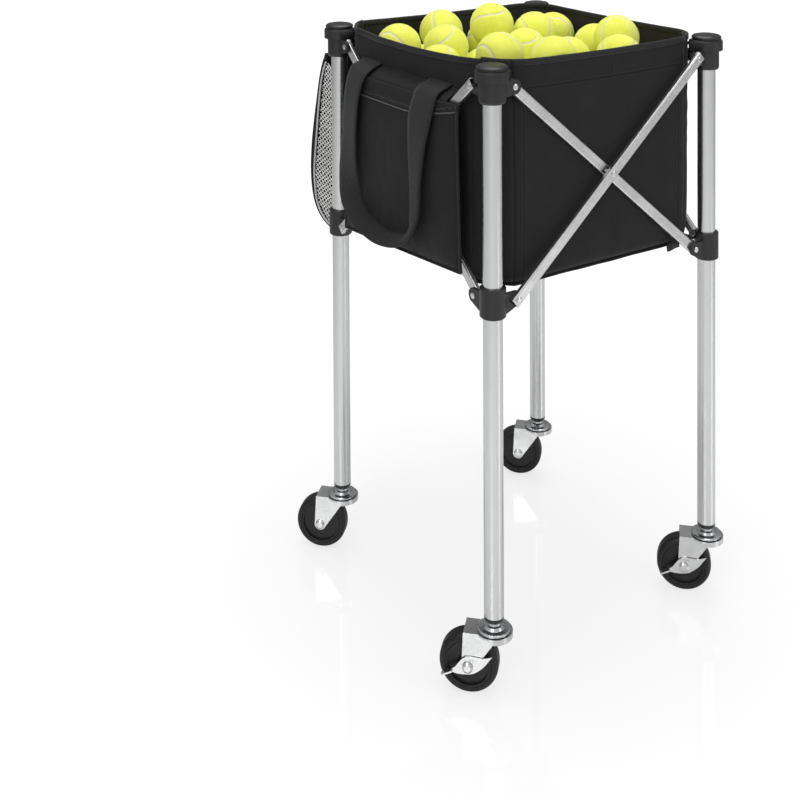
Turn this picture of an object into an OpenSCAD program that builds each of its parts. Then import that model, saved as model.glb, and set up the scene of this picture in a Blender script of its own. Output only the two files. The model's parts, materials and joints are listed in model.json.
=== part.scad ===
// Folding tennis-ball cart: four legs on casters, a scissor on each side, and a hanging fabric hopper.
// The origin is on the floor, midway between the four legs. +Z is up and the front faces -Y.
// The frame repeats by quarter turns: corner k and side k are corner 0 and side 0 turned by 90 * k
// degrees about Z. Side k runs from corner k, on its left seen from outside, to corner k + 1.

/* [Frame] */
// Distance between neighbouring leg axes
leg_spacing = 376; // [352:2:400]
// Height of the leg caps above the floor
cart_height = 789; // [770:1:830]
// Outside diameter of a leg tube
tube_d = 25; // [24:0.5:25]
// Wall thickness of a leg tube
tube_wall = 1.2; // [1:0.1:2]

/* [Hubs and sleeves] */
// Diameter of the domed cap on a hub
cap_d = 41; // [38:0.5:43]
// Diameter of the collar under the cap
collar_d = 45; // [44:0.5:45]
// Diameter of the barrel that holds the tube
barrel_d = 35; // [33:0.5:35]
// Height of a hub, from the barrel's lower edge to the cap
hub_h = 48; // [46:1:56]
// Diameter of a sliding sleeve
sleeve_d = 33.5; // [32:0.5:35]
// Height of a sliding sleeve
sleeve_h = 38; // [36:1:44]
// Distance from a leg's axis to the pivots on its lugs
lug_reach = 29.5; // [29:0.5:32]
// Thickness of a lug
lug_t = 4; // [3:0.5:4]
// Radius of a lug's rounded end
lug_r = 9.5; // [8:0.5:10]

/* [Scissor bars] */
// Width of a bar
bar_w = 14; // [12:0.5:14]
// Depth of a bar's channel
bar_depth = 6; // [5:0.5:6]
// Wall thickness of the channel
bar_wall = 1.2; // [0.8:0.1:1.5]
// Height from the sleeve pivots up to the hub pivots, frame open
pivot_rise = 266; // [240:2:280]
// Length of bar beyond its end pivots
bar_end = 7; // [6:0.5:7]
// Diameter of a rivet
rivet_d = 5; // [4:0.5:5]

/* [Casters] */
// Diameter of a wheel
wheel_d = 75; // [70:1:76]
// Width of a wheel
wheel_w = 24; // [20:1:25]
// Distance from the swivel axis to the wheel's axle
trail = 31; // [30:1:34]
// Direction in which the wheels trail, about +Z from +X
caster_angle = 135; // [0:1:360]
// Diameter of the axle
axle_d = 8; // [6:0.5:8]

/* [Bag] */
// Half width of the bag, over its fabric
bag_half = 185; // [170:1:185]
// Leg of the bag's corner bevel, which clears the hubs
bag_bevel = 31; // [30:1:45]
// Height of the bag's rim above the caps
rim_above_cap = 2; // [0:1:6]
// Depth of the bag
bag_depth = 293; // [270:1:300]
// Thickness of the padded fabric
fabric_t = 2.5; // [2:0.5:4]
// Depth of the sewn band under the rim
rim_band_h = 48; // [40:1:50]
// Width of the handle webbing
webbing_w = 50; // [40:1:50]

/* [Balls] */
// Diameter of a ball
ball_d = 66; // [65:0.5:67]
// Number of balls in the heap
ball_count = 52; // [30:1:60]

/* [Hidden] */
$fn = 64;
CORNERS = ["front_left", "front_right", "back_right", "back_left"];
SIDES = ["front", "right", "back", "left"];
CORNER_PARTS = ["tube", "hub", "sleeve", "caster_stem", "caster_fork", "caster_axle", "caster_wheel"];
SIDE_PARTS = ["inner_bar", "outer_bar", "inner_bar_rivets", "outer_bar_rivets", "bag_panel"];
SINGLE_PARTS = ["front_left_brake_lever", "front_right_brake_lever", "bag_floor_front", "bag_floor_back",
                "zip_pocket", "mesh_pocket", "left_handle", "right_handle", "tennis_balls"];

eps = 0.01;
fit_gap = 0.1;                               // radial gap of a fixed fit
run_gap = 0.08;                              // radial gap of a running fit
slide_gap = 0.2;                             // radial gap of a sleeve on its tube
leg_xy = leg_spacing / 2;
hub_pivot_z = cart_height - 30.5;
sleeve_pivot_z = hub_pivot_z - pivot_rise;
crossing_z = (hub_pivot_z + sleeve_pivot_z) / 2;
pivot_x = leg_xy - lug_reach;                // end pivots, from the middle of a side
bar_angle = atan2(pivot_rise, 2 * pivot_x);
bar_length = norm([pivot_rise, 2 * pivot_x]);

// Layers of a side, as distances outward from the plane of the leg axes
lug_in = 5;
lug_out = lug_in + lug_t;
layer_gap = 0.4;
inner_bar_out = lug_in - layer_gap;
outer_bar_in = lug_out + layer_gap;
outer_bar_out = outer_bar_in + bar_depth;
outside_bars = outer_bar_out + 4;            // clear of the rivet heads on the outer bars
head_r = rivet_d / 2 + 1.5;
head_t = 1.5;
tight_r = rivet_d / 2 + fit_gap / 2;         // hole in which a rivet is fixed

// Heights of the caster's layers
wheel_r = wheel_d / 2;
yoke_z = wheel_d + 2;
yoke_t = 2;
race_z = yoke_z + yoke_t + 1;
plug_z = race_z + 10;
tube_z = plug_z + 7;
yoke_r = 23.5;
kingpin_r = 5;
arm_t = 2;
arm_in = wheel_w / 2 + 1.5;
arm_out = arm_in + arm_t;
lever_in = arm_out + 0.8;
lever_t = 1.5;
brake_pin_r = 2.5;
brake_pin = [trail - 5, wheel_r + 8];
pin_end = lever_in + lever_t + 0.4;          // brake pins and braked axles reach past the lever

rim_z = cart_height + rim_above_cap;
bag_z = rim_z - bag_depth;
band_z = rim_z - rim_band_h;
bag_out = bag_half - leg_xy;                 // bag's face, outward from the plane of the leg axes
flap_half = 115;
hole_r = rivet_d / 2 + run_gap;              // hole that turns on a rivet
ball_gap = 0.6;
wall_gap = 2;                                // from a ball to the bag
trial_count = 90;                            // places tried for each ball
load_level = 0.57;                           // lowest ball centre, as a share of the bag's depth
mound = 0.03;                                // how steeply the heap falls away from its middle
heap_seed = 83.1;

// Point for a flank from q onto a circle of radius r about c, tucked just inside the edge; side is 1 or -1
function tangent(c, r, q, side) =
    let (v = q - c, inside = r - 0.3, a = atan2(v.y, v.x) + side * acos(inside / norm(v)))
    c + inside * [cos(a), sin(a)];

// Turns side 0 or corner 0 into side k or corner k
module turned(k) {
    rotate([0, 0, 90 * k]) children();
}

// Moves to the axis of leg 0, inside turned()
module at_leg() {
    translate([-leg_xy, -leg_xy, 0]) children();
}

// Draws in the plane of side 0 (X to the right, Y up), from depth inner outward to depth outer
module side_plate(inner, outer) {
    translate([0, -leg_xy - inner, 0])
        rotate([90, 0, 0])
            linear_extrude(outer - inner) children();
}

// ---- legs ----

module leg_tube() {
    color("silver")
        translate([0, 0, tube_z])
            difference() {
                cylinder(h = cart_height - 9.5 - tube_z, d = tube_d);
                translate([0, 0, -1]) cylinder(h = cart_height, d = tube_d - 2 * tube_wall);
            }
}

// One lug beside a leg, with its pivot at height 0; the fin runs down to drop below the pivot
module lug_shape(drop) {
    pivot = [lug_reach, 0];
    foot = [barrel_d / 2 - 2, -drop];
    union() {
        translate(pivot) circle(lug_r);
        polygon([[0, lug_r], [lug_reach, lug_r], pivot, tangent(pivot, lug_r, foot, 1), foot, [0, -drop]]);
    }
}

// The two lugs of a leg fitting: one on side k and one on the side before it
module lugs(drop) {
    for (flip = [0, 1])
        mirror([flip, -flip, 0])
            translate([0, -lug_in, 0])
                rotate([90, 0, 0])
                    linear_extrude(lug_t) lug_shape(drop);
}

module lug_holes() {
    for (flip = [0, 1])
        mirror([flip, -flip, 0])
            translate([lug_reach, 0, 0])
                rotate([90, 0, 0])
                    cylinder(h = 4 * lug_out, r = hole_r, center = true);
}

module hub() {
    cap_r = cap_d / 2;
    collar_r = collar_d / 2;
    barrel_r = barrel_d / 2;
    collar_drop = 21.5;
    color("#1c1c1e")
        difference() {
            union() {
                translate([0, 0, cart_height])
                    rotate_extrude()
                        polygon([[0, 0], [cap_r - 7, 0], [cap_r - 2.5, -1], [cap_r, -3], [cap_r, -5],
                                 [cap_r - 1.2, -5.6], [cap_r - 1.2, -6.6],
                                 [collar_r - 1, -7.6], [collar_r, -9],
                                 [collar_r, -collar_drop], [barrel_r, -collar_drop], [barrel_r, -hub_h + 3],
                                 [barrel_r - 1, -hub_h], [0, -hub_h]]);
                translate([0, 0, hub_pivot_z]) lugs(lug_r + 2);
            }
            translate([0, 0, cart_height - hub_h - 1]) cylinder(h = hub_h - 8, d = tube_d + 2 * fit_gap);
            translate([0, 0, hub_pivot_z]) lug_holes();
        }
}

module sleeve() {
    edge = 1.5;
    r = sleeve_d / 2;
    color("#1c1c1e")
        translate([0, 0, sleeve_pivot_z])
            difference() {
                union() {
                    rotate_extrude()
                        polygon([[0, -sleeve_h / 2], [r - edge, -sleeve_h / 2], [r, -sleeve_h / 2 + edge],
                                 [r, sleeve_h / 2 - edge], [r - edge, sleeve_h / 2], [0, sleeve_h / 2]]);
                    lugs(sleeve_h / 2 - 3);
                }
                cylinder(h = 2 * sleeve_h, d = tube_d + 2 * slide_gap, center = true);
                lug_holes();
            }
}

// ---- scissor bars ----

// Channel section: X across the bar, Y from the open side to the web, with rounded outer corners
module channel_section() {
    bend = 1.8;
    difference() {
        union() {
            translate([-bar_w / 2, 0]) square([bar_w, bar_depth - bend]);
            translate([-bar_w / 2 + bend, 0]) square([bar_w - 2 * bend, bar_depth]);
            for (x = [-1, 1])
                translate([x * (bar_w / 2 - bend), bar_depth - bend]) circle(bend);
        }
        translate([-bar_w / 2 + bar_wall, -1]) square([bar_w - 2 * bar_wall, bar_depth - bar_wall + 1]);
    }
}

// A bar along X about the crossing, its open side facing inward; middle_r is its middle hole
module bar(middle_r) {
    total = bar_length + 2 * bar_end;
    color("silver")
        difference() {
            translate([-total / 2, 0, 0])
                rotate(180, [1, 0, 1])
                    linear_extrude(total) channel_section();
            for (x = [-1, 0, 1])
                translate([x * bar_length / 2, 0, 0])
                    rotate([90, 0, 0])
                        cylinder(h = 4 * bar_depth, r = x == 0 ? middle_r : tight_r, center = true);
        }
}

// Places a bar on side 0; slope is 1 for the bar that falls to the right and -1 for its partner
module bar_place(inner, slope) {
    translate([0, -leg_xy - inner, crossing_z])
        rotate([0, slope * bar_angle, 0]) children();
}

module inner_bar() {
    bar_place(inner_bar_out - bar_depth, 1) bar(tight_r);
}

module outer_bar() {
    bar_place(outer_bar_in, -1) bar(hole_r);
}

// A rivet through side 0, with a low domed head beyond each end of its grip
module rivet(inner, outer) {
    dome = 0.5;
    grip = outer - inner;
    color("#b9bcc0")
        translate([0, -leg_xy - inner, 0])
            rotate([90, 0, 0])
                rotate_extrude()
                    polygon([[0, -head_t], [head_r - 1.5, -head_t], [head_r, -head_t + dome], [head_r, -eps],
                             [rivet_d / 2, -eps], [rivet_d / 2, grip + eps], [head_r, grip + eps],
                             [head_r, grip + head_t - dome], [head_r - 1.5, grip + head_t],
                             [0, grip + head_t]]);
}

// Rivets fixed in the inner bar: hub end, sleeve end, and the crossing with its spacer
module inner_bar_rivets() {
    web_inside = inner_bar_out - bar_wall;
    translate([-pivot_x, 0, hub_pivot_z]) rivet(web_inside, lug_out);
    translate([pivot_x, 0, sleeve_pivot_z]) rivet(web_inside, lug_out);
    translate([0, 0, crossing_z]) {
        rivet(web_inside, outer_bar_out);
        crossing_spacer();
    }
}

// Washer stack on the crossing rivet, between the two webs
module crossing_spacer() {
    inner = inner_bar_out + eps;
    outer = outer_bar_out - bar_wall - fit_gap;
    color("#b9bcc0")
        translate([0, -leg_xy - inner, 0])
            rotate([90, 0, 0]) cylinder(h = outer - inner, r = rivet_d / 2 + 2);
}

// Rivets fixed in the outer bar, at its hub and sleeve ends
module outer_bar_rivets() {
    translate([pivot_x, 0, hub_pivot_z]) rivet(lug_in, outer_bar_out);
    translate([-pivot_x, 0, sleeve_pivot_z]) rivet(lug_in, outer_bar_out);
}

// ---- casters, drawn with the wheel trailing along +X from the swivel axis ----

// Plug in the tube, threaded collar, upper race and kingpin, all fixed to the leg
module caster_stem() {
    plug_r = tube_d / 2 - tube_wall - fit_gap;
    plug_h = 33;
    race_r = 21;
    color("#2a2a2c")
        rotate_extrude()
            polygon([[0, yoke_z - 3.8], [8, yoke_z - 3.8], [9, yoke_z - 2.8], [9, yoke_z - 0.4],
                     [kingpin_r, yoke_z - 0.4], [kingpin_r, race_z], [race_r, race_z], [race_r, race_z + 1.6],
                     [race_r - 1.5, race_z + 2.6], [race_r - 7, race_z + 3.2],
                     [race_r - 9.5, race_z + 6], [9, race_z + 7], [8.5, plug_z],
                     [tube_d / 2 - 3, plug_z], [tube_d / 2 - 0.3, plug_z + 3.5],
                     [tube_d / 2, plug_z + 5], [tube_d / 2, tube_z - fit_gap], [plug_r, tube_z - fit_gap],
                     [plug_r, tube_z + plug_h - 3], [plug_r - 1.5, tube_z + plug_h], [0, tube_z + plug_h]]);
}

// Side view of a fork arm: a rounded end about the axle, widening up to the yoke
module arm_shape() {
    axle = [trail, wheel_r];
    end_r = 8.5;
    far = [trail + 6, yoke_z + yoke_t];
    near = [-3, yoke_z - 6];
    translate(axle) circle(end_r);
    polygon([far, [near.x, far.y], near, tangent(axle, end_r, near, 1), axle, tangent(axle, end_r, far, -1)]);
}

// Plate standing beside the wheel on its +Y side, from depth inner to depth outer
module wheel_side(inner, outer) {
    translate([0, outer, 0])
        rotate([90, 0, 0]) linear_extrude(outer - inner) children();
}

module caster_fork(braked) {
    color("#c4c6c8")
        difference() {
            union() {
                translate([0, 0, yoke_z]) cylinder(h = yoke_t, r = yoke_r);
                translate([0, -arm_out, yoke_z]) cube([trail + 6, 2 * arm_out, yoke_t]);
                for (flip = [0, 1])
                    mirror([0, flip, 0]) wheel_side(arm_in, arm_out) arm_shape();
                yoke_skirt();
                if (braked)
                    wheel_side(arm_out - eps, pin_end)
                        translate(brake_pin) circle(brake_pin_r);
            }
            translate([0, 0, yoke_z - 1]) cylinder(h = yoke_t + 2, r = kingpin_r + run_gap);
            translate([trail, 0, wheel_r])
                rotate([90, 0, 0]) cylinder(h = 4 * arm_out, d = axle_d + fit_gap, center = true);
        }
}

// Turned-down rim round the front of the yoke, away from the wheel
module yoke_skirt() {
    drop = 4.5;
    translate([0, 0, yoke_z - drop])
        difference() {
            cylinder(h = drop + eps, r = yoke_r);
            translate([0, 0, -1]) cylinder(h = drop + 2, r = yoke_r - yoke_t);
            translate([-2, -2 * yoke_r, -1]) cube([2 * yoke_r, 4 * yoke_r, drop + 2]);
        }
}

// Axle bolt with a domed head at each end; near and far are its reaches to +Y and -Y between the heads
module caster_axle(near, far) {
    r = axle_d / 2;
    axle_head_r = 6.8;
    axle_head_t = 3;
    color("#b9bcc0")
        translate([trail, 0, wheel_r])
            rotate([90, 0, 0])
                rotate_extrude()
                    polygon([[0, -near - axle_head_t], [axle_head_r - 2.5, -near - axle_head_t],
                             [axle_head_r, -near - 1.2], [axle_head_r, -near], [r, -near], [r, far],
                             [axle_head_r, far], [axle_head_r, far + 1.2],
                             [axle_head_r - 2.5, far + axle_head_t], [0, far + axle_head_t]]);
}

// Half profile of the wheel: X outward from the axle, Y along it
module wheel_profile() {
    half = wheel_w / 2;
    shoulder = 6.5;
    hub_r = 11;
    web_out = wheel_r - 11;
    bore_r = axle_d / 2 + run_gap;
    difference() {
        union() {
            translate([bore_r, -half]) square([wheel_r - shoulder - bore_r, wheel_w]);
            translate([bore_r, -half + shoulder]) square([wheel_r - bore_r, wheel_w - 2 * shoulder]);
            for (y = [-1, 1])
                translate([wheel_r - shoulder, y * (half - shoulder)]) circle(shoulder);
            translate([bore_r, -half - 0.8]) square([hub_r - 3 - bore_r, wheel_w + 1.6]);
        }
        for (y = [-1, 1]) {
            translate([hub_r, y * half - 3]) square([web_out - hub_r, 6]);
            translate([web_out + 3, y * half]) circle(0.8);
        }
    }
}

module caster_wheel() {
    color("#161617")
        translate([trail, 0, wheel_r])
            rotate([90, 0, 0]) rotate_extrude() wheel_profile();
}

// Leaf of the brake lever beside the wheel, in side view: pointed ends and a boss about the axle
module lever_shape() {
    axle = [trail, wheel_r];
    difference() {
        polygon([for (p = [[-31, 16.5], [-20, 2], [-14, -3], [-8, -7], [-2, -8.8], [6, -9.6], [13, -9.5],
                           [19, -8.4], [24, -6.5], [16, -1.5], [12, 4], [8, 9], [3, 12.5], [-4, 13.6],
                           [-11, 13], [-18, 12.5]])
                 axle + p]);
        translate(axle) circle(6);
        translate(brake_pin) circle(brake_pin_r + run_gap);
    }
}

// Stamped brake lever: one leaf beside the wheel, with a small tongue for the foot at its tip
module brake_lever() {
    tongue_t = 2.2;
    color("#c4c6c8")
        union() {
            wheel_side(lever_in, lever_in + lever_t) lever_shape();
            translate([trail + 22, lever_in + lever_t / 2 + 1, wheel_r - 6.5])
                rotate([0, 25, 0])
                    translate([0, 0, -tongue_t / 2])
                        linear_extrude(tongue_t)
                            polygon([[-3, -4], [9, -4], [12, -2], [12, 2], [9, 4], [-3, 4]]);
        }
}

// ---- bag ----

// Corners of the bag's outline at a distance inside its outer face, for side 0, from one bevel to the next
function bag_side(inset) =
    let (half = bag_half - inset, bevel = bag_bevel - (2 - sqrt(2)) * inset, mid = half - bevel / 2)
    [[-mid, -mid], [bevel - half, -half], [half - bevel, -half], [mid, -mid]];

// One side of the bag, with half of the bevel at each end; a narrow gap parts it from its neighbours
module bag_panel() {
    gap = 0.3;
    outside = bag_side(0);
    inside = bag_side(fabric_t);
    end = bag_side(fabric_t / 2)[3];
    color("#202022")
        translate([0, 0, bag_z])
            linear_extrude(bag_depth)
                difference() {
                    polygon(concat(outside, [for (i = [3 : -1 : 0]) inside[i]]));
                    for (x = [-1, 1])
                        translate([x * end.x, end.y])
                            rotate([0, 0, 45 * -x]) square([2 * gap, 4 * fabric_t], center = true);
                }
}

// Half of the bag's floor, folded along the diagonal from front right to back left
module bag_floor() {
    clear = fabric_t + 0.5;
    edge = bag_side(clear);
    all_round = [for (k = [0 : 3], i = [0 : 2])
                 let (c = cos(90 * k), s = sin(90 * k), p = edge[i])
                 [c * p.x - s * p.y, s * p.x + c * p.y]];
    far = 2 * bag_half;
    color("#202022")
        translate([0, 0, bag_z])
            linear_extrude(fabric_t)
                intersection() {
                    polygon(all_round);
                    polygon([[-far, -far], [far, -far - 0.5], [-far, far - 0.5]]);
                }
}

// Section of the flap that hangs a pocket on the rim band: X outward from the leg plane, Y up
module flap_section() {
    polygon([[bag_out + eps, band_z + 2], [bag_out + eps, band_z], [outside_bars, band_z - 12],
             [outside_bars + 2, band_z - 12], [outside_bars + 2, band_z - 9]]);
}

// Draws a section on side 0 from x1 to x2, X of the section pointing outward
module along_side(x1, x2) {
    translate([x1, -leg_xy, 0])
        rotate([90, 0, 90])
            mirror([1, 0, 0]) linear_extrude(x2 - x1) children();
}

// Flat pocket with a zip, hung outside the bars
module zip_pocket() {
    left = -112;
    right = 150;
    bottom = bag_z + 12;
    thick = 12;
    color("#202022")
        union() {
            along_side(-flap_half, flap_half) flap_section();
            along_side(left, right)
                polygon([[outside_bars, band_z - 10], [outside_bars, bottom],
                         [outside_bars + thick, bottom + 6], [outside_bars + thick, band_z - 40],
                         [outside_bars + 4, band_z - 11]]);
        }
}

// Deep pocket with mesh ends and an open mouth, hung outside the bars
module mesh_pocket() {
    half = 165;
    skin = 2;
    low = bag_z - 46;
    outer = [[0, band_z - 10], [0, low + 8], [8, low], [60, low], [78, low + 16], [86, low + 52],
             [83, low + 137], [70, band_z - 78], [54, band_z - 20], [52, band_z - 20]];
    inner = [[skin, band_z + 9], [skin, low + 9], [9, low + skin], [59, low + skin], [76.5, low + 17],
             [84, low + 52], [81, low + 136], [68, band_z - 79], [50, band_z - 20], [48, band_z + 9]];
    color("#202022")
        union() {
            along_side(-flap_half, flap_half) flap_section();
            difference() {
                along_side(-half, half) translate([outside_bars, 0]) polygon(outer);
                along_side(-half + skin, half - skin) translate([outside_bars, 0]) polygon(inner);
            }
        }
}

// Loop handle of flat webbing, sewn under the rim band and hanging at distance out from the leg plane
module handle(out) {
    strap_t = 2;
    centre_x = 97;
    low = bag_z + 14;
    outer_r = centre_x + webbing_w / 2;
    inner_r = outer_r - webbing_w;
    top = band_z - 2;
    color("#1b1b1d")
        union() {
            for (x = [-centre_x, centre_x])
                along_side(x - webbing_w / 2, x + webbing_w / 2)
                    polygon([[bag_out + eps, top + 9], [bag_out + eps, top + 7], [out, top], [out, top - 8],
                             [out + strap_t, top - 8], [out + strap_t, top + 2]]);
            side_plate(out, out + strap_t)
                difference() {
                    union() {
                        translate([0, low + outer_r]) circle(outer_r);
                        translate([-outer_r, low + outer_r]) square([2 * outer_r, top - 1 - low - outer_r]);
                    }
                    translate([0, low + outer_r]) circle(inner_r);
                    translate([-inner_r, low + outer_r]) square([2 * inner_r, top]);
                }
        }
}

// ---- balls ----

// Repeatable value from 0 to 1 for a pair of whole numbers
function scatter(i, j) =
    let (v = sin(127.1 * i + 311.7 * j + heap_seed) * 4375.85)
    v - floor(v);

// Height at which a ball dropped at p comes to rest on the balls below it
function rest_height(p, balls) =
    max(concat([bag_z + load_level * bag_depth], [for (b = balls)
        let (d2 = (p.x - b.x) ^ 2 + (p.y - b.y) ^ 2, reach = ball_d + ball_gap)
        if (d2 < reach ^ 2) b.z + sqrt(reach ^ 2 - d2)]));

// Drops n balls one by one, each where it lies lowest of several trial places and near the middle
function heap(n, balls = []) =
    len(balls) == n ? balls :
    let (limit = bag_half - fabric_t - ball_d / 2 - wall_gap,
         corner = 2 * bag_half - bag_bevel - sqrt(2) * (fabric_t + ball_d / 2 + wall_gap + 1),
         trials = [for (t = [1 : trial_count])
             let (x = limit * (2 * scatter(len(balls), t) - 1),
                  y = limit * (2 * scatter(t, len(balls) + 57) - 1))
             if (abs(x) + abs(y) < corner) [x, y, rest_height([x, y], balls)]],
         costs = [for (t = trials) t.z + mound * norm([t.x, t.y])],
         best = min(costs),
         pick = [for (i = [0 : len(trials) - 1]) if (costs[i] == best) trials[i]][0])
    heap(n, concat(balls, [pick]));

module tennis_balls() {
    color("#d7ea2f")
        for (b = heap(ball_count))
            translate(b) sphere(d = ball_d, $fn = 48);
}

// ---- assembly ----

for (k = [0 : 3])
    turned(k)
        at_leg() {
            braked = k < 2;
            leg_tube();
            hub();
            sleeve();
            // Casters keep one direction on every corner
            rotate([0, 0, caster_angle - 90 * k]) {
                caster_stem();
                caster_fork(braked);
                caster_axle(braked ? pin_end : arm_out + fit_gap, arm_out + fit_gap);
                caster_wheel();
                if (braked) brake_lever();
            }
        }

for (k = [0 : 3])
    turned(k) {
        inner_bar();
        outer_bar();
        inner_bar_rivets();
        outer_bar_rivets();
        bag_panel();
    }

bag_floor();  // bag_floor_front
turned(2) bag_floor();  // bag_floor_back
turned(3) zip_pocket();
turned(2) mesh_pocket();
turned(3) handle(outside_bars + 12.5);  // left_handle
turned(1) handle(outside_bars + 0.5);  // right_handle
tennis_balls();
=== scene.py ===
"""Looks for the folding tennis-ball cart: finishes, the sewn hopper, pockets, straps and balls, in a studio."""

import json
import math
import random

import bpy
import numpy as np
from mathutils import Euler, Matrix, Vector, noise


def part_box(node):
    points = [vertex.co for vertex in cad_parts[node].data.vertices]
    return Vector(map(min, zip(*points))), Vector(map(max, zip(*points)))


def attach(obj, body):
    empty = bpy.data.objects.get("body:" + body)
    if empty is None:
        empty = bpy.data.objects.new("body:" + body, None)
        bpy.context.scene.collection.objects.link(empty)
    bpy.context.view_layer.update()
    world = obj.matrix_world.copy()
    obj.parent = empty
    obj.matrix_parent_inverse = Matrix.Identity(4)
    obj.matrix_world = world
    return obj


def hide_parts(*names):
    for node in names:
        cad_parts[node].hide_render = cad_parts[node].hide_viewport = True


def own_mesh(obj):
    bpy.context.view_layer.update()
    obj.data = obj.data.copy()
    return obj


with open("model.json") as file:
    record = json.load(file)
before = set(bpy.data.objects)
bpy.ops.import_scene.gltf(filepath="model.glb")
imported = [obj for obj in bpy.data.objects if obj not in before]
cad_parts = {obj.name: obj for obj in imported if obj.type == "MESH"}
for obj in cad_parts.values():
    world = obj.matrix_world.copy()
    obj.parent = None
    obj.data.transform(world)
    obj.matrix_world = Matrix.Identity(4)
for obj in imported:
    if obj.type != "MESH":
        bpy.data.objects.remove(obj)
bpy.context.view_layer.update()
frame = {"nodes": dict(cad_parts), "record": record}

MM = 0.001
CORNERS = ["front_left", "front_right", "back_right", "back_left"]
SIDES = ["front", "right", "back", "left"]
CORNER_BODY = {c: c + "_leg" for c in CORNERS}

# ---------------------------------------------------------------- places taken from the CAD part


def middle(node):
    low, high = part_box(node)
    return (low + high) / 2


def joint(name):
    return next(j for j in frame["record"]["behaviour"]["joints"] if j["name"] == name)


LEG = middle("front_right_tube").x
CAP_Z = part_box("front_left_hub")[1].z
TUBE_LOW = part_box("front_left_tube")[0].z
panel_low, panel_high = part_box("front_bag_panel")
RIM_Z, BAG_Z, BAG_HALF = panel_high.z, panel_low.z, -panel_low.y
BAND_Z = RIM_Z - 48 * MM
WHEEL_R = middle("front_left_caster_wheel").z
OUTSIDE = 19.5 * MM  # from the plane of the leg axes out to the pockets' backs, clear of the bars

# Folded size of the square of legs, from the linkage
hub_pivot = Vector(joint("front_right_hub_pivot")["pos_m"])
crossing = Vector(joint("front_crossing")["pos_m"])
open_angle = math.atan2(hub_pivot.z - crossing.z, hub_pivot.x - crossing.x)

CORNER_R = 53 * MM
SPLIT = 150 * MM
CLOTH_T = 2.2 * MM

# ---------------------------------------------------------------- materials


def new_material(name, color, rough=0.5, metallic=0.0, **inputs):
    """A Principled material, with its node tree and shader ready for more nodes."""
    material = bpy.data.materials.new(name)
    material.use_nodes = True
    material.diffuse_color = (*color, 1)
    tree = material.node_tree
    shader = tree.nodes["Principled BSDF"]
    shader.inputs["Base Color"].default_value = (*color, 1)
    shader.inputs["Roughness"].default_value = rough
    shader.inputs["Metallic"].default_value = metallic
    for key, value in inputs.items():
        shader.inputs[key.replace("_", " ")].default_value = value
    return material, tree, shader


def coords(tree, stretch=(1, 1, 1), turn=(0, 0, 0), source="Object"):
    """Texture coordinates in metres, stretched and turned."""
    texture = tree.nodes.new("ShaderNodeTexCoord")
    mapping = tree.nodes.new("ShaderNodeMapping")
    mapping.vector_type = "TEXTURE" if any(turn) else "POINT"
    if any(turn):
        mapping.inputs["Rotation"].default_value = turn
        tree.links.new(texture.outputs[source], mapping.inputs["Vector"])
        second = tree.nodes.new("ShaderNodeMapping")
        tree.links.new(mapping.outputs["Vector"], second.inputs["Vector"])
        mapping = second
    else:
        tree.links.new(texture.outputs[source], mapping.inputs["Vector"])
    mapping.inputs["Scale"].default_value = stretch
    return mapping.outputs["Vector"]


def noise_of(tree, vector, scale, detail=4.0, rough=0.55):
    node = tree.nodes.new("ShaderNodeTexNoise")
    node.inputs["Scale"].default_value = scale
    node.inputs["Detail"].default_value = detail
    node.inputs["Roughness"].default_value = rough
    tree.links.new(vector, node.inputs["Vector"])
    return node.outputs["Fac"]


def spread(tree, value, low, high, start=0.0, end=1.0):
    """Maps a value from start..end to low..high."""
    node = tree.nodes.new("ShaderNodeMapRange")
    node.inputs["From Min"].default_value = start
    node.inputs["From Max"].default_value = end
    node.inputs["To Min"].default_value = low
    node.inputs["To Max"].default_value = high
    tree.links.new(value, node.inputs["Value"])
    return node.outputs["Result"]


def mix_color(tree, factor, a, b):
    node = tree.nodes.new("ShaderNodeMix")
    node.data_type = "RGBA"
    tree.links.new(factor, node.inputs[0])
    for socket, value in ((node.inputs[6], a), (node.inputs[7], b)):
        if hasattr(value, "links"):
            tree.links.new(value, socket)
        else:
            socket.default_value = (*value, 1)
    return node.outputs[2]


def maths(tree, operation, a, b=None):
    node = tree.nodes.new("ShaderNodeMath")
    node.operation = operation
    for socket, value in zip(node.inputs, (a, b)):
        if value is None:
            continue
        if hasattr(value, "links"):
            tree.links.new(value, socket)
        else:
            socket.default_value = value
    return node.outputs[0]


def relief(tree, shader, height, distance, strength=1.0, edge=None):
    """Bump from a height, with rounded edges under it where edge gives their radius."""
    bump = tree.nodes.new("ShaderNodeBump")
    bump.inputs["Strength"].default_value = strength
    bump.inputs["Distance"].default_value = distance
    tree.links.new(height, bump.inputs["Height"])
    if edge:
        bevel = tree.nodes.new("ShaderNodeBevel")
        bevel.samples = 6
        bevel.inputs["Radius"].default_value = edge
        tree.links.new(bevel.outputs["Normal"], bump.inputs["Normal"])
    tree.links.new(bump.outputs["Normal"], shader.inputs["Normal"])


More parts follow.
